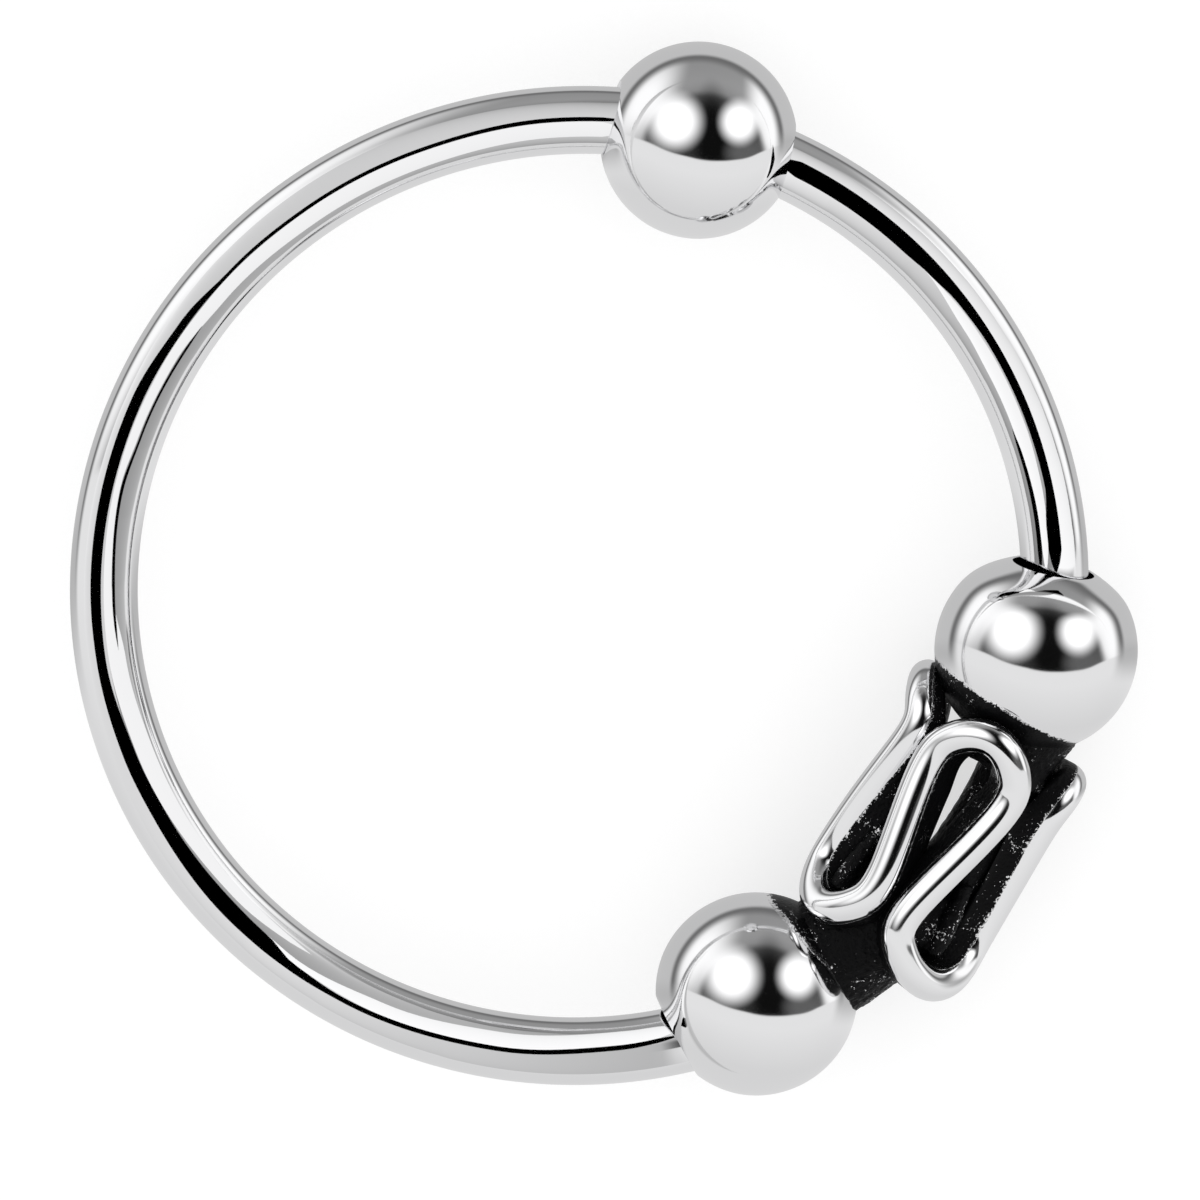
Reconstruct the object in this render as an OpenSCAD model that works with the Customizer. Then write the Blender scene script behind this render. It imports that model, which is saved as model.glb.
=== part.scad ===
// Captive bead ring, lying on its side
// A hoop of round wire is held shut by a small bead, and carries a sliding ornament:
// two beads with an open cage of scroll wire soldered between them.
// Z is up. The hoop's centre is at X = 0, Y = 0, and Z = 0 is the surface under the beads.
// Angles round the hoop are counted from +X towards +Y.

/* [Hoop] */
// Thickness of the hoop's round wire
wire_d = 1.0; // [0.9:0.05:1]
// Clear width inside the hoop
inside_d = 13; // [12.8:0.1:13.1]

/* [Closure bead] */
// Diameter of the bead that closes the hoop
closure_d = 2.9; // [2.8:0.05:3.1]
// Place of the closure bead round the hoop, in degrees
closure_at = 75.6; // [75:0.1:95]
// Distance from the bead's middle to the centre of each rounded wire tip
tip_out = 1.15; // [1.1:0.05:1.2]
// Step from the wire's edge to the ball of its rounded tip
tip_step = 0.03; // [0.02:0.01:0.05]
// Gap between a wire tip and its socket in the bead
tip_gap = 0.04; // [0.02:0.01:0.06]

/* [Slider beads] */
// Diameter of the two beads of the slider
bead_d = 3.0; // [3:0.05:3.1]
// Place of the upper bead round the hoop, in degrees
upper_at = -8.3; // [-9:0.1:-6]
// Place of the lower bead round the hoop, in degrees
lower_at = -66.8; // [-67:0.1:-64]
// How far the upper bead's middle lies inside the wire's centre line
upper_inset = 0.20; // [0.1:0.01:0.25]
// How far the lower bead's middle lies inside the wire's centre line
lower_inset = 0.32; // [0.2:0.01:0.35]
// Play of the wire in the slider's passage, across the diameter
passage_play = 0.2; // [0.16:0.02:0.24]
// How far the passage's centre line lies inside the wire's centre line
passage_inset = 0.05; // [0.03:0.01:0.06]

/* [Scroll cage] */
// Place of the cage's middle round the hoop, in degrees
cage_at = -37.4; // [-40:0.1:-37]
// How far the cage's middle lies inside the wire's centre line
cage_inset = 0.494; // [0.45:0.001:0.51]
// Turn of the cage's axis away from the hoop's tangent, in degrees
cage_turn = 6.5; // [6:0.5:8]
// Radius of the cage over its strands
cage_r = 1.49; // [1.48:0.01:1.5]
// Width of a strand
strand_w = 0.5; // [0.44:0.02:0.5]
// Depth of a strand towards the cage's axis, where the wire leaves room
strand_depth = 0.75; // [0.6:0.05:0.75]
// Gap between the hoop's wire and the corners of a strand
strand_gap = 0.1; // [0.08:0.01:0.12]

/* [Necks] */
// Diameter of the neck at the upper bead
upper_neck_d = 1.7; // [1.65:0.05:1.8]
// Diameter of the neck at the lower bead
lower_neck_d = 1.84; // [1.8:0.02:1.84]
// Diameter of the lower neck's cone inside the cage, at its upper end
cone_d = 1.3; // [1:0.1:1.4]

/* [Hidden] */

$fn = 96;
ring_sides = 360;

ring_r = (inside_d + wire_d) / 2;
wire_r = wire_d / 2;
wire_z = closure_d / 2;
slider_z = bead_d / 2;

// The wire's tips and the middle of the closure bead lie on one straight line
tip_angle = asin(tip_out / ring_r);
closure_r = ring_r * cos(tip_angle);
tip_r = wire_r - tip_step;
socket_r = wire_r + tip_gap;
// The sockets open a little towards their mouths
mouth_step = 0.02;
mouth_r = socket_r + mouth_step;

upper_pos = polar(ring_r - upper_inset, upper_at);
lower_pos = polar(ring_r - lower_inset, lower_at);
passage_r = (wire_d + passage_play) / 2;
passage_ring_r = ring_r - passage_inset;

// The cage's axis runs along `along`, and `out` points away from the hoop's centre
cage_mid = polar(ring_r - cage_inset, cage_at);
axis_angle = cage_at + 90 + cage_turn;
along = polar(1, axis_angle);
out = polar(1, axis_angle - 90);

// The upper neck lies beside the cage's axis, and both necks end inside the cage.
// A cone carries the lower neck on between the strands.
upper_neck_shift = 0.15;
upper_neck_end = 1.58;
lower_neck_end = -1.0;
cone_start = -1.2;
cone_end = 0.15;
cone_step = 0.1;
cone_base_d = lower_neck_d - cone_step;
// Degrees round the hoop from the lower bead's middle to the neck's start inside the bead
lower_neck_turn = 8.8;
lower_neck_start = polar(ring_r - lower_inset, lower_at + lower_neck_turn);

// Each bend of the scroll wire, in order round the cage
// [place round the cage's axis in degrees, 0 on top; half its width in degrees; height along the axis]
bends = [
    [-57, 31, -1.43],
    [-10, 32.5, 2.07],
    [43, 42, -1.66],
    [110, 30, 1.95],
    [175, 41, -1.50],
    [263, 32, 2.18]
];
AT = 0;
HALF = 1;
HEIGHT = 2;

// A bend's own shape: [sideways, in half widths; back from its tip, in millimetres]
bend_shape = [[-1, 0.85], [-0.72, 0.26], [0, 0], [0.72, 0.26], [1, 0.85]];
steps_between_points = 4;
section_sides = 10;
corner_power = 0.75;

function polar(r, angle) = [r * cos(angle), r * sin(angle)];
function spot(xy, z) = [xy[0], xy[1], z];

// Points of the scroll wire as [degrees round the axis, height along it]
points = [
    for (bend = bends)
    for (step = bend_shape)
    [bend[AT] + step[0] * bend[HALF], bend[HEIGHT] - sign(bend[HEIGHT]) * step[1]]
];

// The closed path starts again one full turn further on
function point(i) =
    let (turns = floor(i / len(points)))
    points[i - turns * len(points)] + [360 * turns, 0];

function through(a, b, c, d, t) =
    0.5 * (2 * b + (c - a) * t + (2 * a - 5 * b + 4 * c - d) * t ^ 2 + (3 * b - a - 3 * c + d) * t ^ 3);

path = [
    for (i = [0:len(points) - 1])
    for (step = [0:steps_between_points - 1])
    through(point(i - 1), point(i), point(i + 1), point(i + 2), step / steps_between_points)
];

function away(angle) = [out[0] * sin(angle), out[1] * sin(angle), cos(angle)];

function on_cage(angle, height, r) = spot(cage_mid + height * along, slider_z) + r * away(angle);

function unit(v) = v / norm(v);

// A corner that would come too near the hoop's wire is pushed straight away from the wire's middle
function kept_clear(p) =
    let (
        flat = [p[0], p[1]],
        from_wire = p - spot(flat * ring_r / norm(flat), wire_z),
        least = wire_r + strand_gap
    )
    p + unit(from_wire) * max(0, least - norm(from_wire));

// A circle's cosine or sine, drawn out towards the corners of its square
function squared(x) = sign(x) * abs(x) ^ corner_power;

// One cross section of the scroll wire, deeper than it is wide
function section(i) =
    let (
        count = len(path),
        angle = path[i][0],
        height = path[i][1],
        middle = cage_r - strand_depth / 2,
        turn = i == count - 1 ? 360 : 0,
        back = i == 0 ? 360 : 0,
        ahead = path[(i + 1) % count] + [turn, 0],
        behind = path[(i - 1 + count) % count] - [back, 0],
        forward = on_cage(ahead[0], ahead[1], middle) - on_cage(behind[0], behind[1], middle),
        up = away(angle),
        side = unit(cross(forward, up))
    )
    [
        for (k = [0:section_sides - 1])
        let (a = 360 * k / section_sides)
        kept_clear(
            on_cage(angle, height, middle)
                + side * squared(cos(a)) * strand_w / 2
                + up * squared(sin(a)) * strand_depth / 2
        )
    ];

module scroll_wire() {
    count = len(path);
    corners = [for (i = [0:count - 1]) each section(i)];
    faces = [
        for (i = [0:count - 1])
        for (k = [0:section_sides - 1])
        let (
            next = (i + 1) % count,
            beside = (k + 1) % section_sides,
            a = i * section_sides + k,
            b = i * section_sides + beside,
            c = next * section_sides + beside,
            d = next * section_sides + k
        )
        each [[a, b, c], [a, c, d]]
    ];
    polyhedron(corners, faces);
}

module passage() {
    translate([0, 0, slider_z])
        rotate_extrude($fn = ring_sides)
        translate([passage_ring_r, 0])
        circle(passage_r);
}

// A straight neck from one spot towards another, with its middle in the slider's plane
module neck(from, to, d) {
    run = to - from;
    translate(spot(from, slider_z))
        rotate([0, 90, atan2(run[1], run[0])])
        cylinder(h = norm(run), d = d);
}

module ring_wire() {
    color("gainsboro")
    translate([0, 0, wire_z]) {
        rotate([0, 0, closure_at + tip_angle])
            rotate_extrude(angle = 360 - 2 * tip_angle, $fn = ring_sides)
            translate([ring_r, 0])
            circle(wire_r);
        for (end = [-1, 1])
            translate(spot(polar(ring_r, closure_at + end * tip_angle), 0))
                sphere(tip_r);
    }
}

module closure_bead() {
    color("silver")
    translate(spot(polar(closure_r, closure_at), wire_z))
        rotate([0, 0, closure_at + 90])
        difference() {
            sphere(d = closure_d);
            for (end = [-1, 1]) {
                translate([end * tip_out, 0, 0])
                    sphere(socket_r);
                translate([end * tip_out, 0, 0])
                    rotate([0, end * 90, 0])
                    cylinder(h = closure_d / 2, r = mouth_r);
            }
        }
}

module slider() {
    color("dimgray") {
        difference() {
            union() {
                translate(spot(upper_pos, slider_z))
                    sphere(d = bead_d);
                translate(spot(lower_pos, slider_z))
                    sphere(d = bead_d);
                neck(
                    cage_mid + upper_neck_end * along + upper_neck_shift * out,
                    upper_pos + upper_neck_shift * out,
                    upper_neck_d
                );
                neck(lower_neck_start, cage_mid + lower_neck_end * along, lower_neck_d);
                translate(spot(cage_mid + cone_start * along, slider_z))
                    rotate([0, 90, axis_angle])
                    cylinder(h = cone_end - cone_start, d1 = cone_base_d, d2 = cone_d);
            }
            passage();
        }
        scroll_wire();
    }
}

ring_wire();
closure_bead();
slider();
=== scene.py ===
import math

import bmesh
import bpy
from mathutils import Matrix, Vector, noise


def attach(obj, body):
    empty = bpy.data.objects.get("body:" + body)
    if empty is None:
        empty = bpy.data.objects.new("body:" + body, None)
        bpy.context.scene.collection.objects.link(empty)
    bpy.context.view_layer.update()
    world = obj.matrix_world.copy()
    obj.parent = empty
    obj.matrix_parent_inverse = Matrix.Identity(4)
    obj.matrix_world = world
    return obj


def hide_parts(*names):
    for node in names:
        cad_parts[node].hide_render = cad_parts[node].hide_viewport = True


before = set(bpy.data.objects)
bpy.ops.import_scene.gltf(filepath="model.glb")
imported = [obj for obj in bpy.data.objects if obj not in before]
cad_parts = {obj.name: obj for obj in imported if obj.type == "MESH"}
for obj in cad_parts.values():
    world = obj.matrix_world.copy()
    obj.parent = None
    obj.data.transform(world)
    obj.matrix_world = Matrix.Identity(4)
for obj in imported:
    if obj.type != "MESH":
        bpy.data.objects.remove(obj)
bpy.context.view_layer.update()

mm = 0.001
scene = bpy.context.scene


def polar(radius, angle, height=0.0):
    turn = math.radians(angle)
    return Vector((radius * math.cos(turn), radius * math.sin(turn), height))


def smooth(low, high, value):
    share = min(max((value - low) / (high - low), 0.0), 1.0)
    return share * share * (3 - 2 * share)


def linearColour(hexCode):
    channels = [int(hexCode[i:i + 2], 16) / 255 for i in (0, 2, 4)]
    return [c / 12.92 if c <= 0.04045 else ((c + 0.055) / 1.055) ** 2.4 for c in channels] + [1.0]


def addNode(tree, kind, inputs=None, **settings):
    # inputs: socket name or number -> another node's socket, or a plain value
    node = tree.nodes.new(kind)
    for name, value in settings.items():
        setattr(node, name, value)
    for name, value in (inputs or {}).items():
        if isinstance(value, bpy.types.NodeSocket):
            tree.links.new(value, node.inputs[name])
        else:
            node.inputs[name].default_value = value
    return node


# The hoop, as in the CAD model
hoop = {
    "wire": 1.0,         # thickness of the round wire
    "polishedOff": 0.001,  # taken off the radius, so that no facet stands out past the CAD's wire
    "inside": 13.0,      # clear width
    "height": 1.45,      # of the wire's middle over the floor
    "gapAt": 75.6,       # degrees round the hoop, where the closing bead sits
    "tipOut": 1.15,      # from that bead's middle to the centre of a rounded tip
    "tipLength": 0.46,   # how far the rounding stands out past that centre
    "tipSteps": 10,
    "sides": 64,
    "steps": 540,
}
wireRadius = hoop["wire"] / 2
hoopRadius = (hoop["inside"] + hoop["wire"]) / 2
tipAngle = math.degrees(math.asin(hoop["tipOut"] / hoopRadius))

# The camera stands as in the photo: nearly straight above, leaning to the side of the closing bead
shot = {
    "lean": 12.3,        # degrees away from straight above
    "turn": 13.0,        # the hoop's long axis in the picture, away from +X
    "distance": 780.0,   # a long lens, so that the picture is nearly without perspective
    "pixelsPerMm": 68.0,
    "photoSide": 1200,
    "aimRight": 0.3015,  # the picture's middle, seen from the hoop's middle
    "aimDown": 0.2,
}
longAxis = polar(1, shot["turn"])
shortAxis = polar(1, shot["turn"] + 90)
lean = math.radians(shot["lean"])
turn = math.radians(shot["turn"])
towardViewer = Vector((0, 0, math.cos(lean))) + shortAxis * math.sin(lean)
acrossLean = shortAxis * math.cos(lean) - Vector((0, 0, math.sin(lean)))
pictureRight = longAxis * math.cos(turn) - acrossLean * math.sin(turn)
pictureUp = longAxis * math.sin(turn) + acrossLean * math.cos(turn)


def makeCamera():
    data = bpy.data.cameras.new("camera")
    camera = bpy.data.objects.new("camera", data)
    scene.collection.objects.link(camera)
    aim = Vector((0, 0, hoop["height"])) + pictureRight * shot["aimRight"] - pictureUp * shot["aimDown"]
    place = (aim + towardViewer * shot["distance"]) * mm
    axes = Matrix((pictureRight, pictureUp, towardViewer)).transposed().to_4x4()
    camera.matrix_world = Matrix.Translation(place) @ axes
    data.sensor_width = 36
    data.lens = data.sensor_width * shot["distance"] * shot["pixelsPerMm"] / shot["photoSide"]
    data.clip_start = 0.01
    data.clip_end = 5
    scene.camera = camera


makeCamera()
print("camera set")


# Studio light. Metal sees the studio below; the floor and everything rough see plain white.
# Places are those on a mirror ball as the viewer sees it: right and up, from -1 to 1.
studio = {
    "floorLight": 1.0,
    "table": 0.84,       # the pale sheet in front of the object, near its far edge
    "tableLow": 0.72,    # and close under the object
    "tableFade": (-0.55, -0.15),  # how far below its edge it has the one tone and the other
    "tableBlur": 0.012,  # half width of that edge
    "tableEdge": [(-1.0, 0.16), (-0.66, 0.03), (-0.5, -0.03), (-0.3, -0.12), (-0.1, -0.175), (0.04, -0.205),
                  (0.2, -0.215), (0.36, -0.205), (0.5, -0.18), (0.64, -0.12), (1.0, 0.02)],
    "ceiling": 0.30,     # between the lights
    "ceilingLow": 0.42,
    "ceilingFade": (0.1, 0.75),  # heights at which it has the low tone and the other
    "rim": 0.56,         # the ground behind and beside the object
    "rimFrom": 0.84,
    "rimFull": 0.88,
    "seam": 0.16,        # the seam between the tent and the ground
    "seamFrom": 0.76,
    "groundFade": (-0.35, 0.15),  # heights over which the ground and the seam come in
    "patches": [
        # two soft lights in the tent
        {"at": (-0.55, 0.40), "size": (0.17, 0.42), "turn": -36, "edge": 1.5, "glow": 1.1},
        {"at": (0.70, 0.22), "size": (0.15, 0.48), "turn": 10, "edge": 1.2, "glow": 1.1},
        # the dark camera side with its gradient and deepest middle
        {"at": (0.04, -0.16), "size": (0.62, 0.63), "turn": 0, "edge": 0.14, "glow": 0.13},
        {"at": (0.08, -0.12), "size": (0.50, 0.56), "turn": 0, "edge": 0.7, "glow": 0.03},
        {"at": (0.13, 0.0), "size": (0.16, 0.45), "turn": 0, "edge": 1.0, "glow": 0.005},
        {"at": (0.47, -0.13), "size": (0.17, 0.12), "turn": 0, "edge": 1.2, "glow": 0.12},
        # two lamps beside the camera
        {"at": (-0.235, 0.185), "size": (0.225, 0.235), "turn": 0, "edge": 1.05, "glow": 1.4},
        {"at": (0.41, 0.18), "size": (0.165, 0.185), "turn": 0, "edge": 1.05, "glow": 1.4},
    ],
}


def makeStudio():
    world = bpy.data.worlds.new("studio")
    scene.world = world
    world.use_nodes = True
    world.cycles.sampling_method = "NONE"
    tree = world.node_tree
    tree.nodes.clear()

    # The ray's direction turned into a place on the mirror ball
    way = addNode(tree, "ShaderNodeTexCoord").outputs["Generated"]
    ahead, sideways, upwards = [
        addNode(tree, "ShaderNodeVectorMath", {0: way, 1: axis}, operation="DOT_PRODUCT").outputs["Value"]
        for axis in (towardViewer, pictureRight, pictureUp)
    ]
    # a touch over 2 keeps the far side of the ball from a division by nothing
    doubled = addNode(tree, "ShaderNodeMath", {0: ahead, 1: 2.0, 2: 2.0001},
                      operation="MULTIPLY_ADD").outputs[0]
    shrink = addNode(tree, "ShaderNodeMath", {0: doubled}, operation="INVERSE_SQRT").outputs[0]
    right = addNode(tree, "ShaderNodeMath", {0: sideways, 1: shrink}, operation="MULTIPLY").outputs[0]
    up = addNode(tree, "ShaderNodeMath", {0: upwards, 1: shrink}, operation="MULTIPLY").outputs[0]
    place = addNode(tree, "ShaderNodeCombineXYZ", {0: right, 1: up}).outputs[0]
    outward = addNode(tree, "ShaderNodeVectorMath", {0: place}, operation="LENGTH").outputs["Value"]

    # The tent's ceiling, then each light and dark patch laid over it
    low, high = studio["ceilingFade"]
    glow = addNode(tree, "ShaderNodeMapRange", {
        "Value": up, "From Min": low, "From Max": high,
        "To Min": studio["ceilingLow"], "To Max": studio["ceiling"]}).outputs[0]
    for patch in studio["patches"]:
        local = addNode(tree, "ShaderNodeMapping", {
            "Vector": place, "Location": (*patch["at"], 0), "Rotation": (0, 0, math.radians(patch["turn"])),
            "Scale": (*patch["size"], 1)}, vector_type="TEXTURE").outputs[0]
        far = addNode(tree, "ShaderNodeVectorMath", {0: local}, operation="LENGTH").outputs["Value"]
        share = addNode(tree, "ShaderNodeMapRange", {
            "Value": far, "From Min": 1 + patch["edge"] / 2, "From Max": 1 - patch["edge"] / 2},
            interpolation_type="SMOOTHSTEP").outputs[0]
        glow = addNode(tree, "ShaderNodeMix", {0: share, 2: glow, 3: patch["glow"]}).outputs[0]

    # The table in front of the object ends in a gently waving edge
    halved = addNode(tree, "ShaderNodeMath", {0: right, 1: 0.5, 2: 0.5},
                     operation="MULTIPLY_ADD").outputs[0]
    curve = addNode(tree, "ShaderNodeFloatCurve", {"Value": halved})
    points = curve.mapping.curves[0].points
    edge = [((x + 1) / 2, (y + 1) / 2) for x, y in studio["tableEdge"]]
    points[0].location = edge[0]
    points[-1].location = edge[-1]
    for x, y in edge[1:-1]:
        points.new(x, y)
    curve.mapping.update()
    edgeUp = addNode(tree, "ShaderNodeMath", {0: curve.outputs[0], 1: 2.0, 2: -1.0},
                     operation="MULTIPLY_ADD").outputs[0]
    above = addNode(tree, "ShaderNodeMath", {0: up, 1: edgeUp}, operation="SUBTRACT").outputs[0]
    low, high = studio["tableFade"]
    table = addNode(tree, "ShaderNodeMapRange", {
        "Value": above, "From Min": low, "From Max": high,
        "To Min": studio["tableLow"], "To Max": studio["table"]}).outputs[0]
    onTable = addNode(tree, "ShaderNodeMapRange", {
        "Value": above, "From Min": studio["tableBlur"], "From Max": -studio["tableBlur"]},
        interpolation_type="SMOOTHSTEP").outputs[0]
    glow = addNode(tree, "ShaderNodeMix", {0: onTable, 2: glow, 3: table}).outputs[0]

    # The ground behind the object, and the dark seam before it, fade out towards the table
    low, high = studio["groundFade"]
    ground = addNode(tree, "ShaderNodeMapRange", {
        "Value": up, "From Min": low, "From Max": high}, interpolation_type="SMOOTHSTEP").outputs[0]
    for start, end, level in (("seamFrom", "rimFrom", "seam"), ("rimFrom", "rimFull", "rim")):
        share = addNode(tree, "ShaderNodeMapRange", {
            "Value": outward, "From Min": studio[start], "From Max": studio[end]},
            interpolation_type="SMOOTHSTEP").outputs[0]
        share = addNode(tree, "ShaderNodeMath", {0: share, 1: ground}, operation="MULTIPLY").outputs[0]
        glow = addNode(tree, "ShaderNodeMix", {0: share, 2: glow, 3: studio[level]}).outputs[0]

    metalSees = addNode(tree, "ShaderNodeBackground", {"Color": glow, "Strength": 1.0}).outputs[0]
    roomSees = addNode(tree, "ShaderNodeBackground", {
        "Color": (1, 1, 1, 1), "Strength": studio["floorLight"]}).outputs[0]
    glossy = addNode(tree, "ShaderNodeLightPath").outputs["Is Glossy Ray"]
    mixed = addNode(tree, "ShaderNodeMixShader", {0: glossy, 1: roomSees, 2: metalSees}).outputs[0]
    addNode(tree, "ShaderNodeOutputWorld", {"Surface": mixed})
    scene.view_settings.view_transform = "Standard"
    scene.view_settings.look = "None"


makeStudio()
print("studio lit")


def newMaterial(name):
    material = bpy.data.materials.new(name)
    material.use_nodes = True
    material.node_tree.nodes.clear()
    return material, material.node_tree


# Surgical steel, drawn or turned and then mirror polished: clear reflections with a faint haze
def polishedSteel():
    material, tree = newMaterial("polishedSteel")
    place = addNode(tree, "ShaderNodeTexCoord").outputs["Object"]
    haze = addNode(tree, "ShaderNodeTexNoise", {"Vector": place, "Scale": 0.9 / mm, "Detail": 3}).outputs[0]
    roughness = addNode(tree, "ShaderNodeMapRange", {
        "Value": haze, "From Min": 0.3, "From Max": 0.7, "To Min": 0.05, "To Max": 0.08}).outputs[0]
    # The buffing wheel leaves waves of a millimetre or two, a few microns high
    wave = addNode(tree, "ShaderNodeTexNoise", {"Vector": place, "Scale": 0.6 / mm, "Detail": 1}).outputs[0]
    bump = addNode(tree, "ShaderNodeBump", {
        "Strength": 0.3, "Distance": 0.004 * mm, "Height": wave}).outputs[0]
    shader = addNode(tree, "ShaderNodeBsdfPrincipled", {
        "Base Color": linearColour("F3F3F4"), "Metallic": 1.0, "Roughness": roughness,
        "Normal": bump}).outputs[0]
    addNode(tree, "ShaderNodeOutputMaterial", {"Surface": shader})
    return material


# Cast silver, barrel polished outside and left black with sulphide where the polish didn't reach. The eye
# gets a soft mirror with a ragged black border, and a rough black hollow with a few crumbs of bright metal.
# border: how ragged the line is where the polish stops, in mm; crumb: size of a crumb, in mm; crumbs: how
# thickly they lie by that line; clumps: how thickly further in; relief: of the cast skin
silverFinishes = {
    "polishedSilver": {"border": 0.07, "crumb": 0.045, "crumbs": 0.36, "clumps": 0.08, "relief": 0.3},
    "polishedSilverStrand": {"border": 0.035, "crumb": 0.04, "crumbs": 0.19, "clumps": 0.08, "relief": 0.45},
    "blackenedSilver": {"border": 0.10, "crumb": 0.04, "crumbs": 0.0, "clumps": 0.115, "relief": 0.9},
}


def silver(name):
    # The attribute "polish" is the height in millimetres above the line where the polish stops
    finish = silverFinishes[name]
    material, tree = newMaterial(name)
    place = addNode(tree, "ShaderNodeTexCoord").outputs["Object"]
    reach = addNode(tree, "ShaderNodeAttribute", attribute_name="polish").outputs["Fac"]

    # The polish stops along a ragged line, with rubbed crumbs of bare metal just past it
    ragged = addNode(tree, "ShaderNodeTexNoise", {
        "Vector": place, "Scale": 9 / mm, "Detail": 4, "Roughness": 0.7}).outputs[0]
    offset = addNode(tree, "ShaderNodeMath", {0: ragged, 1: finish["border"], 2: -finish["border"] / 2},
                     operation="MULTIPLY_ADD").outputs[0]
    height = addNode(tree, "ShaderNodeMath", {0: reach, 1: offset}, operation="ADD").outputs[0]
    bright = addNode(tree, "ShaderNodeMapRange", {
        "Value": height, "From Min": -0.005, "From Max": 0.005}).outputs[0]
    nearBorder = addNode(tree, "ShaderNodeMapRange", {
        "Value": height, "From Min": -0.07, "From Max": -0.01,
        "To Min": 0.0, "To Max": finish["crumbs"]}).outputs[0]
    clumps = addNode(tree, "ShaderNodeTexNoise", {"Vector": place, "Scale": 2.4 / mm, "Detail": 2}).outputs[0]
    clump = addNode(tree, "ShaderNodeMapRange", {
        "Value": clumps, "From Min": 0.45, "From Max": 0.7,
        "To Min": -0.06, "To Max": finish["clumps"]}).outputs[0]
    speck = addNode(tree, "ShaderNodeTexNoise", {
        "Vector": place, "Scale": 1 / (finish["crumb"] * mm), "Detail": 3, "Roughness": 0.6,
        "Distortion": 0.6}).outputs[0]
    lifted = addNode(tree, "ShaderNodeMath", {0: speck, 1: nearBorder}, operation="ADD").outputs[0]
    lifted = addNode(tree, "ShaderNodeMath", {0: lifted, 1: clump}, operation="ADD").outputs[0]
    glint = addNode(tree, "ShaderNodeMapRange", {
        "Value": lifted, "From Min": 0.67, "From Max": 0.69}).outputs[0]
    bare = addNode(tree, "ShaderNodeMath", {0: bright, 1: glint}, operation="MAXIMUM").outputs[0]

    # Bare metal mirrors; the sulphide is black, dull and as pitted as the casting
    colour = addNode(tree, "ShaderNodeMix", {
        0: bare, 6: linearColour("0B0B0C"), 7: linearColour("F3F3F4")}, data_type="RGBA").outputs[2]
    roughness = addNode(tree, "ShaderNodeMapRange", {
        "Value": bare, "To Min": 0.36, "To Max": 0.07}).outputs[0]
    grain = addNode(tree, "ShaderNodeTexNoise", {
        "Vector": place, "Scale": 0.7 / (finish["crumb"] * mm), "Detail": 5}).outputs[0]
    dull = addNode(tree, "ShaderNodeMath", {0: 1.0, 1: bright}, operation="SUBTRACT").outputs[0]
    pitted = addNode(tree, "ShaderNodeMath", {0: grain, 1: dull}, operation="MULTIPLY").outputs[0]
    step = addNode(tree, "ShaderNodeMath", {0: bright, 1: 0.3, 2: pitted},
                   operation="MULTIPLY_ADD").outputs[0]
    bump = addNode(tree, "ShaderNodeBump", {
        "Strength": finish["relief"], "Distance": 0.04 * mm, "Height": step}).outputs[0]
    shader = addNode(tree, "ShaderNodeBsdfPrincipled", {
        "Base Color": colour, "Metallic": bare, "Roughness": roughness, "Specular IOR Level": 0.08,
        "Normal": bump}).outputs[0]
    addNode(tree, "ShaderNodeOutputMaterial", {"Surface": shader})
    return material


steelFinish = polishedSteel()
beadFinish = silver("polishedSilver")
strandFinish = silver("polishedSilverStrand")
blackFinish = silver("blackenedSilver")
print("materials mixed")


def newObject(bm, name, material=None):
    mesh = bpy.data.meshes.new(name)
    bm.to_mesh(mesh)
    bm.free()
    if material:
        mesh.materials.append(material)
    thing = bpy.data.objects.new(name, mesh)
    scene.collection.objects.link(thing)
    return thing


sameSpot = 0.0005        # points nearer than this are one


def finishPiece(bm, name, body, node, material):
    bmesh.ops.remove_doubles(bm, verts=bm.verts, dist=sameSpot)
    bmesh.ops.recalc_face_normals(bm, faces=bm.faces)
    bmesh.ops.scale(bm, vec=(mm, mm, mm), verts=bm.verts)
    piece = newObject(bm, name, material)
    piece.data.shade_smooth()
    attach(piece, body)
    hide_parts(node)


def hoopTube(radius, fromAngle, toAngle, steps):
    # A tube along the hoop's wire, with the edges of its two open ends
    bm = bmesh.new()
    upright = Matrix.Translation((hoopRadius, 0, hoop["height"])) @ Matrix.Rotation(math.pi / 2, 4, "X")
    start = Matrix.Rotation(math.radians(fromAngle), 4, "Z")
    section = bmesh.ops.create_circle(bm, segments=hoop["sides"], radius=radius,
                                      matrix=start @ upright)["verts"]
    first = list(bm.edges)
    spun = bmesh.ops.spin(bm, geom=section + first, cent=(0, 0, 0), axis=(0, 0, 1),
                          angle=math.radians(toAngle - fromAngle), steps=steps)
    return bm, first, [g for g in spun["geom_last"] if isinstance(g, bmesh.types.BMEdge)]


def roundTip(bm, edges, centre, outward, length, steps):
    # Carries an open end on to a closed dome
    done = 0.0
    for step in range(1, steps + 1):
        angle = math.pi / 2 * step / steps
        grown = bmesh.ops.extrude_edge_only(bm, edges=edges)["geom"]
        verts = [g for g in grown if isinstance(g, bmesh.types.BMVert)]
        edges = [g for g in grown if isinstance(g, bmesh.types.BMEdge)]
        bmesh.ops.translate(bm, vec=outward * length * (math.sin(angle) - math.sin(done)), verts=verts)
        middle = centre + outward * length * math.sin(angle)
        shrink = math.cos(angle) / math.cos(done)
        if step == steps:
            bmesh.ops.pointmerge(bm, verts=verts, merge_co=middle)
        else:
            bmesh.ops.scale(bm, vec=(shrink, shrink, shrink), space=Matrix.Translation(-middle),
                            verts=verts)
        done = angle


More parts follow.
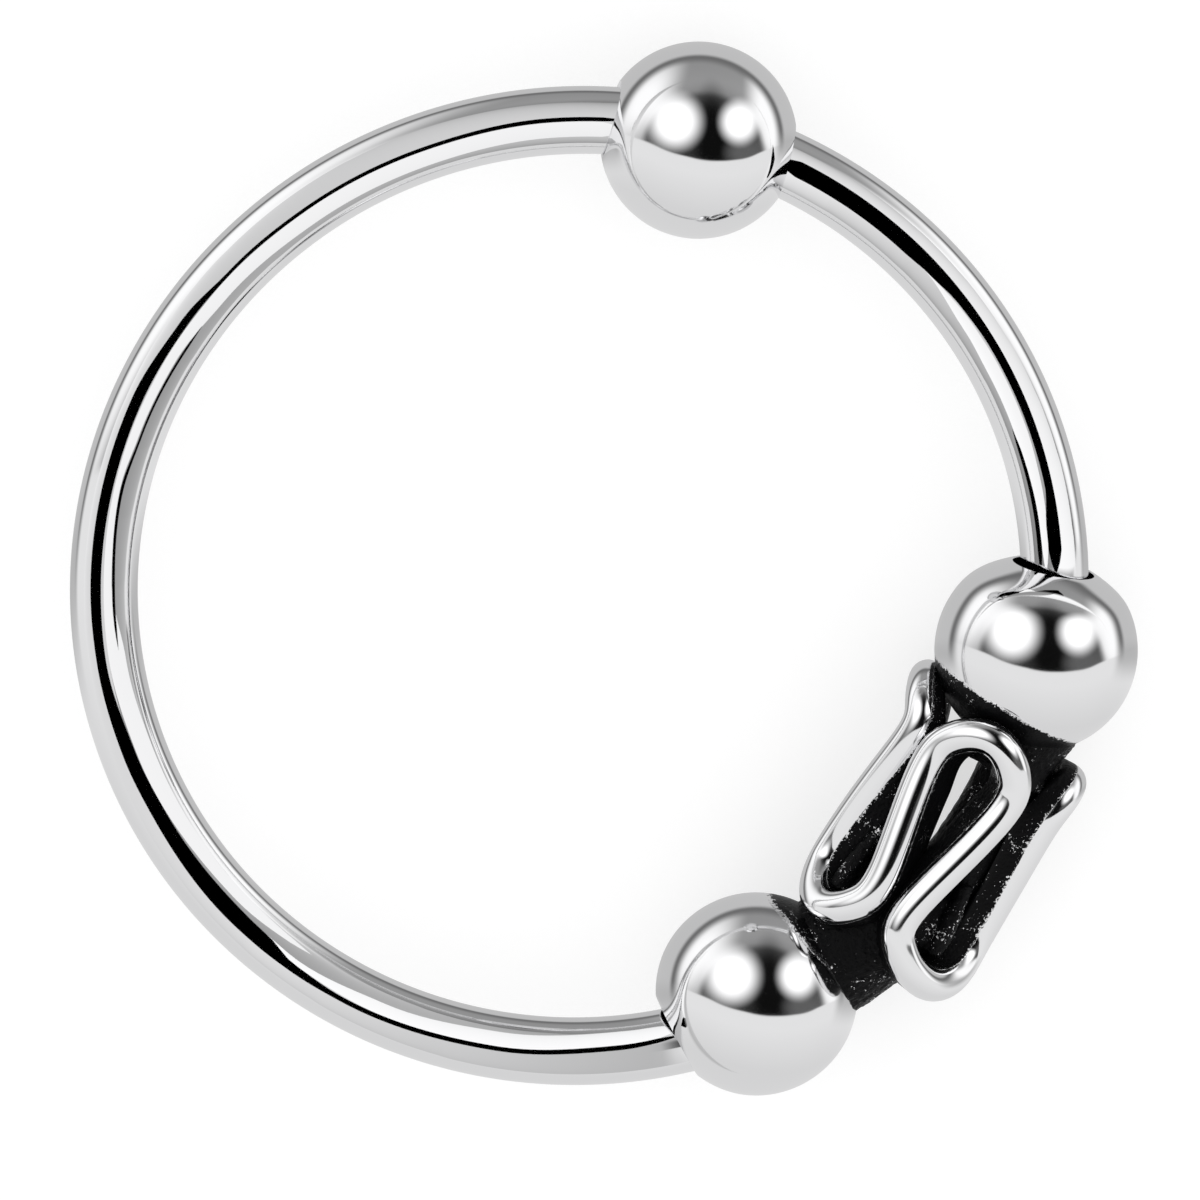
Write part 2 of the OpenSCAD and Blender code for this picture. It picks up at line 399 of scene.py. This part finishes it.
def makeRingWire():
    bm, first, last = hoopTube(wireRadius - hoop["polishedOff"], hoop["gapAt"] + tipAngle,
                               hoop["gapAt"] - tipAngle + 360, hoop["steps"])
    for edges, end in ((first, 1), (last, -1)):
        angle = hoop["gapAt"] + end * tipAngle
        centre = polar(hoopRadius, angle, hoop["height"])
        roundTip(bm, edges, centre, polar(1, angle - end * 90), hoop["tipLength"], hoop["tipSteps"])
    finishPiece(bm, "hoop_wire", "ring", "ring_wire", steelFinish)


makeRingWire()
print("ring wire drawn")


# A bead is turned round its own axis from half an outline, then set across the hoop
def turnBead(outline, steps):
    bm = bmesh.new()
    verts = [bm.verts.new((x, y, 0)) for x, y in outline]
    edges = [bm.edges.new(pair) for pair in zip(verts, verts[1:])]
    bmesh.ops.spin(bm, geom=verts + edges, cent=(0, 0, 0), axis=(1, 0, 0), angle=2 * math.pi, steps=steps,
                   use_merge=True)
    bmesh.ops.remove_doubles(bm, verts=bm.verts, dist=sameSpot)
    return bm


def softenRims(bm, ball, hole, offset):
    # Rounds the sharp edges where a hole meets the ball
    near = 0.002
    onRim = {v for v in bm.verts if abs(v.co.length - ball) < near and abs(v.co.yz.length - hole) < near}
    rims = [e for e in bm.edges if onRim.issuperset(e.verts)]
    bmesh.ops.bevel(bm, geom=rims, offset=offset, offset_type="OFFSET", segments=4, profile=0.5,
                    affect="EDGES", material=-1)


def arc(radius, fromAngle, toAngle, steps, middle=0.0):
    angles = [math.radians(fromAngle + (toAngle - fromAngle) * i / steps) for i in range(steps + 1)]
    return [(middle + radius * math.cos(a), radius * math.sin(a)) for a in angles]


ballSteps = 90           # from one hole of a bead to the other
rimClear = 4             # degrees from a hole's edge to the ball's first ring, as room for the rounding

closureBead = {
    "diameter": 2.898,   # a hair under the CAD's
    "socket": 0.54,      # radius of the socket round a wire tip
    "mouth": 0.56,       # radius where it opens
    "rim": 0.03,         # rounding of its edge
    "socketSteps": 12,
    "steps": 160,
}


def makeClosureBead():
    radius = closureBead["diameter"] / 2
    mouthAngle = math.degrees(math.asin(closureBead["mouth"] / radius))
    half = arc(closureBead["socket"], 180, 90, closureBead["socketSteps"], hoop["tipOut"]) + [
        (radius * math.cos(math.radians(mouthAngle)), closureBead["mouth"])]
    ball = arc(radius, mouthAngle + rimClear, 180 - mouthAngle - rimClear, ballSteps)
    outline = half + ball + [(-x, y) for x, y in reversed(half)]
    bm = turnBead(outline, closureBead["steps"])
    softenRims(bm, radius, closureBead["mouth"], closureBead["rim"])
    middle = polar(hoopRadius * math.cos(math.radians(tipAngle)), hoop["gapAt"], hoop["height"])
    across = Matrix.Rotation(math.radians(hoop["gapAt"] + 90), 4, "Z")
    bmesh.ops.transform(bm, matrix=Matrix.Translation(middle) @ across, verts=bm.verts)
    finishPiece(bm, "captive_bead", "closure_bead", "closure_bead",
                steelFinish)


makeClosureBead()
print("closure bead turned")


# The slider's beads and cage, as in the CAD model
slider = {
    "height": 1.5,       # of the beads' middles over the floor
    "bead": 2.994,       # diameter, a hair under the CAD's
    "wall": 0.08,        # length of a hole before it widens
    "slope": 0.20,       # length over which it widens
    "hollow": 0.86,      # radius of the passage inside a bead
    "rim": 0.03,         # rounding of a hole's edge
    "steps": 160,
}
# at: degrees round the hoop; inset: how far a middle lies inside the wire's centre line; hole: its radius;
# lean and rise: degrees by which the holes turn outwards and upwards; flat: share by which each end is
# pressed flatter; black: from the middle to the plane where the polish stops; faces: the way of that side
upperBead = {"at": -8.3, "inset": 0.20, "hole": 0.61, "lean": 3.0, "rise": 0.6, "flat": (0, 0.065),
             "black": 0.80}
lowerBead = {"at": -66.8, "inset": 0.32, "hole": 0.65, "lean": 4.5, "rise": 1.0, "flat": (0.015, 0),
             "black": 1.14, "faces": 44}
upperPlace = polar(hoopRadius - upperBead["inset"], upperBead["at"], slider["height"])
lowerPlace = polar(hoopRadius - lowerBead["inset"], lowerBead["at"], slider["height"])


def setPolish(bm, value):
    layer = bm.verts.layers.float.get("polish") or bm.verts.layers.float.new("polish")
    for vert in bm.verts:
        vert[layer] = value(vert.co)


def makeSliderBead(name, bead, middle, neckWay):
    radius = slider["bead"] / 2
    holeAngle = math.degrees(math.asin(bead["hole"] / radius))
    rimX = radius * math.cos(math.radians(holeAngle))
    ball = arc(radius, holeAngle + rimClear, 180 - holeAngle - rimClear, ballSteps)
    wallEnd = rimX - slider["wall"]
    bore = [(rimX, bead["hole"]), (wallEnd, bead["hole"]), (wallEnd - slider["slope"], slider["hollow"])]
    outline = ball + [(-x, y) for x, y in bore] + list(reversed(bore)) + ball[:1]
    bm = turnBead(outline, slider["steps"])
    softenRims(bm, radius, bead["hole"], slider["rim"])
    # The pressing and the turn of the holes set in a little way from the middle and are full at the holes
    for vert in bm.verts:
        flat = bead["flat"][vert.co.x > 0]
        vert.co.x *= 1 - flat * smooth(0.5, 0.9, abs(vert.co.x) / radius)
        share = vert.co.x / max(vert.co.length, 0.01)
        swing = math.copysign(smooth(0.2, 0.9, abs(share)), -share)
        vert.co.rotate(Matrix.Rotation(swing * math.radians(bead["lean"]), 3, "Z"))
        vert.co.rotate(Matrix.Rotation(swing * math.radians(bead["rise"]), 3, "Y"))
    across = Matrix.Rotation(math.radians(bead["at"] + 90), 4, "Z")
    bmesh.ops.transform(bm, matrix=Matrix.Translation(middle) @ across, verts=bm.verts)
    setPolish(bm, lambda co: bead["black"] - (co - middle).dot(neckWay))
    finishPiece(bm, name, "slider", "slider", beadFinish)


cage = {
    "at": -37.4,
    "inset": 0.494,
    "turn": 6.5,         # its axis, away from the hoop's tangent
    "radius": 1.49,
    "strand": 0.5,       # width of its wire
    "wireGap": 0.1,      # between it and the hoop's wire
    "splay": 0.06,       # how much wider a strand's black foot is than its bright face, on each side
    "splayed": (0.9, 1.5),  # heights between which that runs out towards the bends
    "flankBend": 1.4,    # over 1, a flank widens mostly near the foot
    "foot": 0.08,        # height of a strand's rounded foot
    "heel": 0.02,        # and of the sole's outer points
    "polished": 0.01,    # how far the polish reaches past the round face
    "finer": 24,         # steps from one point of a bend to the next
    "step": 0.03,        # between two sections
    "softening": 4,      # sections to each side over which the bends are eased
    "faceSteps": 18,
    "flankSteps": 6,
}
cageMiddle = polar(hoopRadius - cage["inset"], cage["at"], slider["height"])
axisAngle = cage["at"] + 90 + cage["turn"]
alongCage = polar(1, axisAngle)
outOfCage = polar(1, axisAngle - 90)

# The upper bead's black side lies square to the cage, and the lower one's is turned a little outwards
makeSliderBead("upper_bead", upperBead, upperPlace, -alongCage)
makeSliderBead("lower_bead", lowerBead, lowerPlace, polar(1, lowerBead["faces"]))
print("slider beads turned")

# The scroll wire's six bends, each as points along the wire: degrees round the cage's axis from the top,
# height along the axis, how far it stands out past the cage, depth
bends = [
    [(-88, -0.58, 0, 0.75), (-79, -1.17, 0, 0.7), (-57, -1.43, 0, 0.7), (-35, -1.17, 0, 0.7),
     (-26, -0.58, 0, 0.75)],
    [(-42, 1.22, 0, 0.75), (-33, 1.81, 0, 0.7), (-10, 2.07, 0, 0.65), (13, 1.81, 0, 0.7),
     (22.5, 1.22, 0, 0.75)],
    [(2, -0.81, 0, 0.75), (13, -1.36, 0, 0.75), (37, -1.61, 0.01, 0.75), (60, -1.57, 0.03, 0.72),
     (80, -1.28, 0.06, 0.7), (89, -0.70, 0.05, 0.7)],
    [(80, 1.00, 0, 0.7), (80, 1.60, 0.04, 0.6), (98, 1.90, 0.06, 0.5), (127, 1.64, 0.03, 0.6),
     (141, 1.10, 0, 0.7)],
    [(134, -0.65, 0, 0.75), (145, -1.24, 0, 0.7), (175, -1.50, 0, 0.7), (204, -1.24, 0, 0.7),
     (216, -0.65, 0, 0.75)],
    [(231, 1.40, 0, 0.6), (240, 1.99, 0.05, 0.5), (263, 2.17, 0.11, 0.5), (286, 1.93, 0.13, 0.55),
     (294, 1.40, 0.05, 0.65)],
]


def pathPoint(path, i):
    # A closed path starts again one full turn further on
    turns, place = divmod(i, len(path))
    return path[place] + Vector((360 * turns, 0, 0, 0))


def scrollPath():
    # One smooth closed line through all points, cut in even steps
    points = [Vector(point) for bend in bends for point in bend]
    path = []
    for i in range(len(points) * cage["finer"] + 1):
        k, step = divmod(i, cage["finer"])
        a, b, c, d = (pathPoint(points, k + j) for j in (-1, 0, 1, 2))
        t = step / cage["finer"]
        path.append(0.5 * (2 * b + (c - a) * t + (2 * a - 5 * b + 4 * c - d) * t ** 2
                           + (3 * b - a - 3 * c + d) * t ** 3))
    onFace = cage["radius"] - cage["strand"] / 2
    lengths = [0.0]
    for a, b in zip(path, path[1:]):
        lengths.append(lengths[-1] + math.hypot(math.radians(b[0] - a[0]) * onFace, b[1] - a[1]))
    total = round(lengths[-1] / cage["step"])
    even = []
    k = 0
    for i in range(total):
        wanted = lengths[-1] * i / total
        while lengths[k + 1] < wanted:
            k += 1
        even.append(path[k].lerp(path[k + 1], (wanted - lengths[k]) / (lengths[k + 1] - lengths[k])))
    return even


def easedPath():
    # Each point goes to the middle of its neighbours, twice over
    path = scrollPath()
    near = range(-cage["softening"], cage["softening"] + 1)
    for turn in range(2):
        path = [sum((pathPoint(path, i + k) for k in near), Vector((0, 0, 0, 0))) / len(near)
                for i in range(len(path))]
    return path


def awayFromAxis(angle):
    turned = math.radians(angle)
    return outOfCage * math.sin(turned) + Vector((0, 0, math.cos(turned)))


def onCage(angle, height, radius):
    return cageMiddle + alongCage * height + awayFromAxis(angle) * radius


def strandOutline(depth, splay):
    # (sideways, up from the cage's surface) round one section: a round bright face, and flanks that widen
    # towards a rounded foot
    half = cage["strand"] / 2
    face = [(x, y - half) for x, y in arc(half, 0, 180, cage["faceSteps"])]
    left = []
    for i in range(1, cage["flankSteps"] + 1):
        share = i / cage["flankSteps"]
        left.append((-half - splay * share ** cage["flankBend"],
                     -half - (depth - half - cage["foot"]) * share))
    # the sole's points lie at 0.8 and 0.4 of the foot's half width
    foot = half + splay
    heel = -depth + cage["heel"]
    sole = [(-foot * 0.8, heel), (-foot * 0.4, -depth), (0, -depth), (foot * 0.4, -depth), (foot * 0.8, heel)]
    return face + left + sole + [(-x, y) for x, y in reversed(left)]


def fromWire(co):
    # The way to a place from the nearest point of the wire's centre line
    flat = Vector((co.x, co.y, 0)).normalized() * hoopRadius
    return co - Vector((flat.x, flat.y, hoop["height"]))


def keptClear(co):
    # Nothing of the scroll comes nearer the hoop's wire than this
    away = fromWire(co)
    least = wireRadius + cage["wireGap"]
    return co + away.normalized() * max(0, least - away.length)


def makeScrollWire():
    bm = bmesh.new()
    polish = bm.verts.layers.float.new("polish")
    path = easedPath()
    border = -cage["strand"] / 2 - cage["polished"]
    face = cage["radius"] - cage["strand"] / 2
    rings = []
    for i, (angle, height, flare, depth) in enumerate(path):
        behind, ahead = (onCage(turned, along, face + out)
                         for turned, along, out, _ in (pathPoint(path, i - 2), pathPoint(path, i + 2)))
        up = awayFromAxis(angle)
        side = (ahead - behind).cross(up).normalized()
        splay = cage["splay"] * (1 - smooth(*cage["splayed"], abs(height)))
        ring = []
        for sideways, rise in strandOutline(depth, splay):
            co = onCage(angle, height, cage["radius"] + flare) + side * sideways + up * rise
            vert = bm.verts.new(keptClear(co))
            vert[polish] = rise - border
            ring.append(vert)
        rings.append(ring)
    for ring, after in zip(rings, rings[1:] + rings[:1]):
        for k in range(len(ring)):
            bm.faces.new((ring[k - 1], ring[k], after[k], after[k - 1]))
    finishPiece(bm, "scroll_wire", "slider", "slider", strandFinish)


makeScrollWire()
print("scroll wire bent")


# The rough black cores between the beads and the cage. Each is cast in one with its fillets: the plain
# shapes overlap, are fused, and their seams are eased before the grain is raised.
# Stations: height along the cage's axis, step outwards, step up, radius
upperCore = [
    [(3.10, 0.02, 0.0, 1.05), (2.60, 0.16, 0.0, 0.93), (2.3, 0.23, 0.0, 0.80), (1.9, 0.20, 0.0, 0.76),
     (1.58, 0.20, 0.0, 0.84)],
    # a fillet that carries on to the strand at the outer side
    [(2.35, 0.60, 0.0, 0.36), (2.0, 0.73, -0.05, 0.30), (1.7, 0.85, -0.12, 0.26)],
]
lowerCore = [
    [(-2.75, -0.78, 0.0, 1.10), (-2.4, -0.59, 0.0, 0.93), (-2.0, -0.36, 0.0, 0.90), (-1.5, -0.16, 0.0, 0.90),
     (-1.0, 0.0, 0.0, 0.92), (-0.5, 0.0, 0.0, 0.78), (-0.05, 0.0, 0.0, 0.50)],
    # tongues that rise between the strands
    [(-1.25, 0.72, 0.58, 0.17), (-0.9, 0.74, 0.58, 0.18), (-0.5, 0.73, 0.55, 0.14), (-0.1, 0.68, 0.5, 0.10)],
    [(-1.15, -0.90, 0.45, 0.17), (-0.8, -0.90, 0.45, 0.16), (-0.4, -0.86, 0.42, 0.13),
     (0.0, -0.80, 0.4, 0.10)],
]
core = {
    "sides": 48,
    "fuse": 0.035,       # size of the grid on which the shapes are fused
    "ease": 6,           # rounds of smoothing over their seams
    "polish": -1.0,      # far below the line where the polish stops
    "grain": 0.022,      # height of the cast grain
    "grainSize": 0.10,
    "fineGrain": 0.6,    # height of the finer grain over it, as a share
    "finer": 2.7,        # how many times finer that is
    "passage": 0.60,     # radius of the wire's passage
    "passageAt": (-95, 15),  # degrees round the hoop
    "passageSteps": 220,
    "liner": 0.53,       # outer radius of the cage's black lining, round the wire
    "linerWall": 0.02,
    "linerGrain": 0.012,
    "linerAt": (-59, -16),
    "linerSteps": 120,
}


def dropHelper(helper):
    mesh = helper.data
    bpy.data.objects.remove(helper)
    bpy.data.meshes.remove(mesh)


def bmeshOfModified(bm, name, modifiers):
    # Runs modifiers over a mesh and hands the outcome back
    helper = newObject(bm, name)
    for kind, settings in modifiers:
        modifier = helper.modifiers.new(kind.lower(), kind)
        for key, value in settings.items():
            setattr(modifier, key, value)
    bpy.context.view_layer.update()
    outcome = bmesh.new()
    outcome.from_mesh(helper.evaluated_get(bpy.context.evaluated_depsgraph_get()).to_mesh())
    dropHelper(helper)
    return outcome


def addTube(bm, stations):
    # Rings square to the line between the stations, bridged, and closed by a flat cap at both ends
    loops = []
    for i, (middle, radius) in enumerate(stations):
        way = (stations[min(i + 1, len(stations) - 1)][0] - stations[max(i - 1, 0)][0]).normalized()
        matrix = Matrix.Translation(middle) @ way.to_track_quat("Z", "Y").to_matrix().to_4x4()
        ring = bmesh.ops.create_circle(bm, segments=core["sides"], radius=radius, matrix=matrix)["verts"]
        loops.append({edge for vert in ring for edge in vert.link_edges})
    for near, far in zip(loops, loops[1:]):
        bmesh.ops.bridge_loops(bm, edges=list(near | far))
    for loop in (loops[0], loops[-1]):
        bmesh.ops.contextual_create(bm, geom=list(loop))


def makeCore(name, shapes):
    bm = bmesh.new()
    for shape in shapes:
        stations = [(cageMiddle + alongCage * h + outOfCage * out + Vector((0, 0, up)), radius)
                    for h, out, up, radius in shape]
        addTube(bm, stations)
    bmesh.ops.recalc_face_normals(bm, faces=bm.faces)
    bm = bmeshOfModified(bm, name, [
        ("REMESH", {"mode": "VOXEL", "voxel_size": core["fuse"]}),
        ("SMOOTH", {"factor": 0.5, "iterations": core["ease"]}),
    ])
    bm.normal_update()
    moves = []
    for vert in bm.verts:
        coarse = noise.noise(vert.co / core["grainSize"])
        fine = noise.noise(vert.co * core["finer"] / core["grainSize"])
        moves.append(vert.normal * core["grain"] * (coarse + core["fineGrain"] * fine))
    for vert, move in zip(bm.verts, moves):
        vert.co += move

    # The wire's passage is cut last
    tube, first, last = hoopTube(core["passage"], *core["passageAt"], core["passageSteps"])
    for loop in (first, last):
        bmesh.ops.contextual_create(tube, geom=loop)
    bmesh.ops.recalc_face_normals(tube, faces=tube.faces)
    cutter = newObject(tube, "passageCutter")
    bm = bmeshOfModified(bm, name, [
        ("BOOLEAN", {"operation": "DIFFERENCE", "solver": "EXACT", "object": cutter}),
    ])
    dropHelper(cutter)
    setPolish(bm, lambda co: core["polish"])
    finishPiece(bm, name, "slider", "slider", blackFinish)


makeCore("upper_neck", upperCore)
makeCore("lower_neck", lowerCore)
print("necks cast")


def makeLiner():
    bm = hoopTube(core["liner"], *core["linerAt"], core["linerSteps"])[0]
    bmesh.ops.recalc_face_normals(bm, faces=bm.faces)
    bmesh.ops.solidify(bm, geom=list(bm.faces), thickness=core["linerWall"])
    for vert in bm.verts:
        away = fromWire(vert.co)
        if away.length > core["liner"] - core["linerWall"] / 2:
            vert.co += away.normalized() * core["linerGrain"] * noise.noise(vert.co / core["grainSize"])
    setPolish(bm, lambda co: core["polish"])
    finishPiece(bm, "cage_lining", "slider", "slider", blackFinish)


makeLiner()
print("lining laid")


# Dark flags and pale cards hang over the hoop, as a jewellery photographer sets them. Only polished metal
# sees them, and they give the wire its lines. Each is laid out by the line that it draws along the wire:
# (degrees round the hoop, from, to), both in millimetres across the wire, its outer side positive.
cards = {
    "step": 1.5,         # degrees from one row of points to the next
    "taper": 2.5,        # degrees over which a flag or a narrow card comes to its end
    "pinch": 0.49,       # taken off either side there, as a share of its width
    "lowest": 0.26,      # no card lies flatter than this towards the wire
    "nearer": 0.98,      # step by which a ray that comes in flatter is moved towards the wire's middle
    # the ends beside the slider, which show when it is slid away, each with the degrees over which the
    # grey cards fade out there
    "open": {1.6: 1.5, 283: 3.5},
    "flags": 2.40,       # heights at which they hang
    "whites": 2.43,
    "greys": 2.47,
    # glow: at the start and at the end of the card, each at its inner and its outer edge
    "strips": [
        {"name": "flagRight", "level": "flags", "glow": ((0, 0), (0, 0)), "line": [
            (2, -0.08, 0.114), (8, -0.08, 0.114), (13, -0.005, 0.114), (32, -0.008, 0.115),
            (38, -0.03, 0.118), (43, -0.08, 0.12), (47, -0.115, 0.122), (66.5, -0.117, 0.127)]},
        {"name": "flagRightInner", "level": "flags", "glow": ((0, 0), (0, 0)), "line": [
            (2, -0.24, -0.17), (8, -0.24, -0.175), (21, -0.255, -0.21)]},
        {"name": "flagLeft", "level": "flags", "glow": ((0, 0), (0, 0)), "line": [
            (84.7, -0.02, 0.04), (94, -0.025, 0.04), (109, -0.058, 0.0), (125, -0.05, 0.005),
            (137, -0.02, 0.03), (145, 0.0, 0.114), (156, 0.024, 0.187), (180, 0.04, 0.195),
            (188, 0.045, 0.185), (200, -0.03, 0.165), (208, -0.06, 0.145), (222, -0.075, 0.17),
            (228, -0.063, 0.163), (233, 0.035, 0.155), (240, 0.066, 0.139), (260, 0.015, 0.085),
            (275, -0.06, 0.015), (283, -0.095, -0.035)]},
        {"name": "flagLeftInner", "level": "flags", "glow": ((0, 0), (0, 0)), "line": [
            (144, -0.20, -0.165), (160, -0.166, -0.135), (167, -0.125, -0.08), (180, -0.168, -0.125),
            (187, -0.175, -0.145)]},
        {"name": "whiteRight", "level": "whites", "glow": ((1.1, 1.0), (1.1, 1.0)), "line": [
            (2, -0.165, -0.09), (14, -0.19, -0.045), (20, -0.22, -0.03), (29, -0.22, -0.03),
            (35, -0.19, -0.04), (44, -0.09, -0.08)]},
        {"name": "whiteLeft", "level": "whites", "glow": ((0.95, 1.0), (1.0, 1.0)), "line": [
            (84.7, -0.245, -0.03), (94, -0.25, -0.03), (109, -0.28, -0.06), (125, -0.27, -0.05),
            (140, -0.215, -0.02), (150, -0.14, 0.0), (160, -0.12, 0.01), (166, -0.075, 0.01),
            (178, -0.115, 0.0), (188, -0.25, 0.0), (200, -0.29, -0.04), (222, -0.28, -0.12),
            (234, -0.25, -0.20)]},
        {"name": "whiteBottom", "level": "whites", "glow": ((1.1, 1.1), (0.9, 1.1)), "line": [
            (227, -0.07, -0.05), (233, -0.04, 0.035), (245, -0.12, 0.06), (260, -0.20, 0.02),
            (275, -0.26, -0.05), (283, -0.27, -0.09)]},
        {"name": "greyOuterRight", "level": "greys", "glow": ((1.1, 1.0), (0.9, 0.45)), "line": [
            (1.6, 0.0, 0.34), (66.5, 0.0, 0.34)]},
        {"name": "greyInnerRight", "level": "greys", "glow": ((0.2, 0.3), (0.5, 1.0)), "line": [
            (1.6, -0.34, 0.0), (66.5, -0.34, 0.0)]},
        {"name": "greyOuterTop", "level": "greys", "glow": ((0.75, 0.3), (0.6, 1.0)), "line": [
            (84.7, 0.0, 0.34), (152, 0.0, 0.34)]},
        {"name": "greyInnerTop", "level": "greys", "glow": ((0.3, 0.8), (0.5, 0.3)), "line": [
            (84.7, -0.34, 0.0), (152, -0.34, 0.0)]},
        {"name": "greyOuterLeft", "level": "greys", "glow": ((0.6, 1.0), (0.85, 0.65)), "line": [
            (152, 0.0, 0.34), (228, 0.0, 0.34)]},
        {"name": "greyInnerLeft", "level": "greys", "glow": ((0.5, 0.3), (0.7, 0.35)), "line": [
            (152, -0.34, 0.0), (228, -0.34, 0.0)]},
        {"name": "greyOuterBottom", "level": "greys", "glow": ((0.85, 0.65), (0.5, 0.5)), "line": [
            (228, 0.0, 0.34), (283, 0.0, 0.34)]},
        {"name": "greyInnerBottom", "level": "greys", "glow": ((0.7, 0.35), (0.25, 0.6)), "line": [
            (228, -0.34, 0.0), (283, -0.34, 0.0)]},
    ],
}


def reflectedPlace(angle, across, height):
    # Where the viewer's ray, thrown back by the wire, comes through the card's level
    along = polar(1, angle + 90)
    outward = along.cross(towardViewer).normalized()
    facing = outward.cross(along)
    ray = Vector((0, 0, 0))
    while ray.z < cards["lowest"]:
        sine = across / wireRadius
        normal = outward * sine + facing * math.sqrt(1 - sine * sine)
        ray = normal * 2 * normal.dot(towardViewer) - towardViewer
        across *= cards["nearer"]
    start = polar(hoopRadius, angle, hoop["height"]) + normal * wireRadius
    return start + ray * ((height - start.z) / ray.z)


def lineAt(line, angle):
    # The line's two edges at an angle, eased between its points
    for (fromAngle, *fromEdges), (toAngle, *toEdges) in zip(line, line[1:]):
        if angle <= toAngle:
            share = smooth(fromAngle, toAngle, angle)
            return [a + (b - a) * share for a, b in zip(fromEdges, toEdges)]
    return line[-1][1:]


# Plain card stock under soft light: it glows evenly, a graded card fades from one edge to the other, and
# the grey cards thin out to nothing at the ends beside the slider
def cardStock():
    material, tree = newMaterial("cardStock")
    graded = addNode(tree, "ShaderNodeAttribute", attribute_name="glow").outputs["Fac"]
    solid = addNode(tree, "ShaderNodeAttribute", attribute_name="solid").outputs["Fac"]
    light = addNode(tree, "ShaderNodeEmission", {"Color": (1, 1, 1, 1), "Strength": graded}).outputs[0]
    clear = addNode(tree, "ShaderNodeBsdfTransparent").outputs[0]
    mixed = addNode(tree, "ShaderNodeMixShader", {0: solid, 1: clear, 2: light}).outputs[0]
    addNode(tree, "ShaderNodeOutputMaterial", {"Surface": mixed})
    material.cycles.emission_sampling = "NONE"
    return material


def makeCards():
    stock = cardStock()
    for strip in cards["strips"]:
        bm = bmesh.new()
        glow = bm.verts.layers.float.new("glow")
        solid = bm.verts.layers.float.new("solid")
        start = strip["line"][0][0]
        stop = strip["line"][-1][0]
        steps = round((stop - start) / cards["step"])
        edges = []
        for i in range(steps + 1):
            share = i / steps
            angle = start + (stop - start) * share
            low, high = lineAt(strip["line"], angle)
            firm = 1.0
            if strip["level"] == "greys":
                firm = min(smooth(0, fade, abs(angle - end)) for end, fade in cards["open"].items())
            else:
                nearEnd = min(angle - start, stop - angle)
                narrowed = (high - low) * cards["pinch"] * (1 - smooth(0, cards["taper"], nearEnd))
                low += narrowed
                high -= narrowed
            ends = []
            for across, fromGlow, toGlow in zip((low, high), *strip["glow"]):
                vert = bm.verts.new(reflectedPlace(angle, across, cards[strip["level"]]) * mm)
                vert[glow] = fromGlow + (toGlow - fromGlow) * share
                vert[solid] = firm
                ends.append(vert)
            edges.append(bm.edges.new(ends))
        for near, far in zip(edges, edges[1:]):
            bmesh.ops.bridge_loops(bm, edges=[near, far])
        card = newObject(bm, strip["name"], stock)
        card.visible_camera = False
        card.visible_diffuse = False
        card.visible_shadow = False
        card.visible_transmission = False


makeCards()
print("cards hung")


sheet = {
    "half": 1.0,         # metres from its middle to an edge
    "paper": "B4B4B4",
    "glow": 0.62,        # of the light behind it
}


# White paper, lit from behind as well, as for a cut-out: it stays white, with a soft shade by the metal
def backlitPaper():
    material, tree = newMaterial("backlitPaper")
    shader = addNode(tree, "ShaderNodeBsdfPrincipled", {
        "Base Color": linearColour(sheet["paper"]), "Roughness": 0.9, "Specular IOR Level": 0.0,
        "Emission Color": (1, 1, 1, 1), "Emission Strength": sheet["glow"]}).outputs[0]
    addNode(tree, "ShaderNodeOutputMaterial", {"Surface": shader})
    return material


def makeFloor():
    bm = bmesh.new()
    bmesh.ops.create_grid(bm, x_segments=1, y_segments=1, size=sheet["half"])
    floor = newObject(bm, "floor", backlitPaper())
    floor.visible_glossy = False


makeFloor()
print("floor laid")
